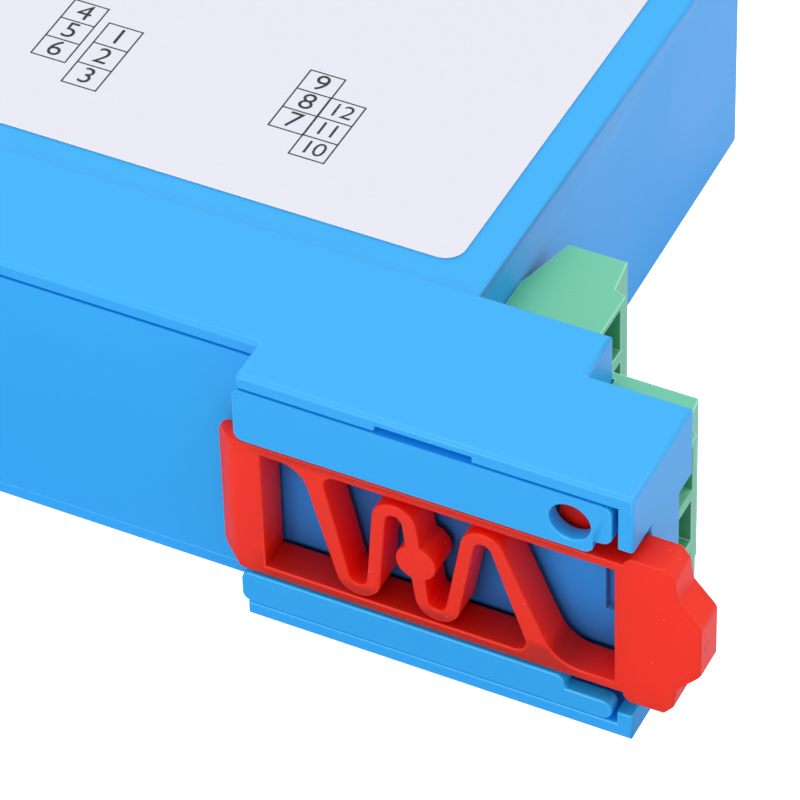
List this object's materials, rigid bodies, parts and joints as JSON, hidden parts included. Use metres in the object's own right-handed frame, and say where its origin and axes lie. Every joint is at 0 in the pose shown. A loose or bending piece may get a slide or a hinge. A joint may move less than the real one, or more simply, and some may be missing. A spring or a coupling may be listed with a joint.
{
  "type": "current transmitter",
  "caption": "Current transmitter in a clip-on rail housing with stepped screw terminal blocks at both ends and a one-piece sprung rail clip.",
  "frame": {"origin": "middle of the rail seat, at half the thickness of the case", "axes": "+X across the rail towards the clip's handle, +Y away from the rail, +Z the thickness, towards the labelled side"},
  "size_m": [0.1016, 0.0606, 0.0234],
  "materials": {
    "blue_plastic": "fine satin moulding",
    "red_plastic": "satin moulding",
    "green_plastic": "satin moulding",
    "label_film": "printed film",
    "plated_steel": "bright zinc plating",
    "tinned_brass": "tin plated",
    "circuit_board": "solder mask",
    "potted_case": "moulded case",
    "ferrite": "ground ferrite",
    "coil_tape": "polyester tape",
    "can_sleeve": "shrink sleeve",
    "film_case": "dipped case",
    "trimmer_case": "moulded case",
    "chip_epoxy": "moulded epoxy",
    "resistor_body": "cement coating"
  },
  "bodies": {
    "case": {"housing_shell": "blue_plastic", "rail_foot": "blue_plastic", "side_label": "label_film", "terminal_block_right_lower": "green_plastic", "terminal_block_right_upper": "green_plastic", "terminal_block_left_lower": "green_plastic", "terminal_block_left_upper": "green_plastic", "clamp_screws": "plated_steel", "clamp_cages": "tinned_brass", "terminal_pins": "tinned_brass", "main_board": "circuit_board", "terminal_boards": "circuit_board", "input_transformer": "potted_case", "supply_transformer_core": "ferrite", "supply_transformer_coil": "coil_tape", "supply_capacitors": "can_sleeve", "film_capacitor": "film_case", "zero_trimmer": "trimmer_case", "span_trimmer": "trimmer_case", "amplifier_chips": "chip_epoxy", "isolating_couplers": "chip_epoxy", "voltage_regulator": "chip_epoxy", "measuring_resistor": "resistor_body", "protection_diodes": "chip_epoxy"},
    "clip": {"rail_clip": "red_plastic"}
  },
  "joints": [
    {"name": "clip_slide", "type": "slide", "parent": "case", "child": "clip", "axis": [1, 0, 0], "range_m": [0, 0.0022], "stiffness_N_per_m": 2000, "springref_m": -0.0005}
  ]
}
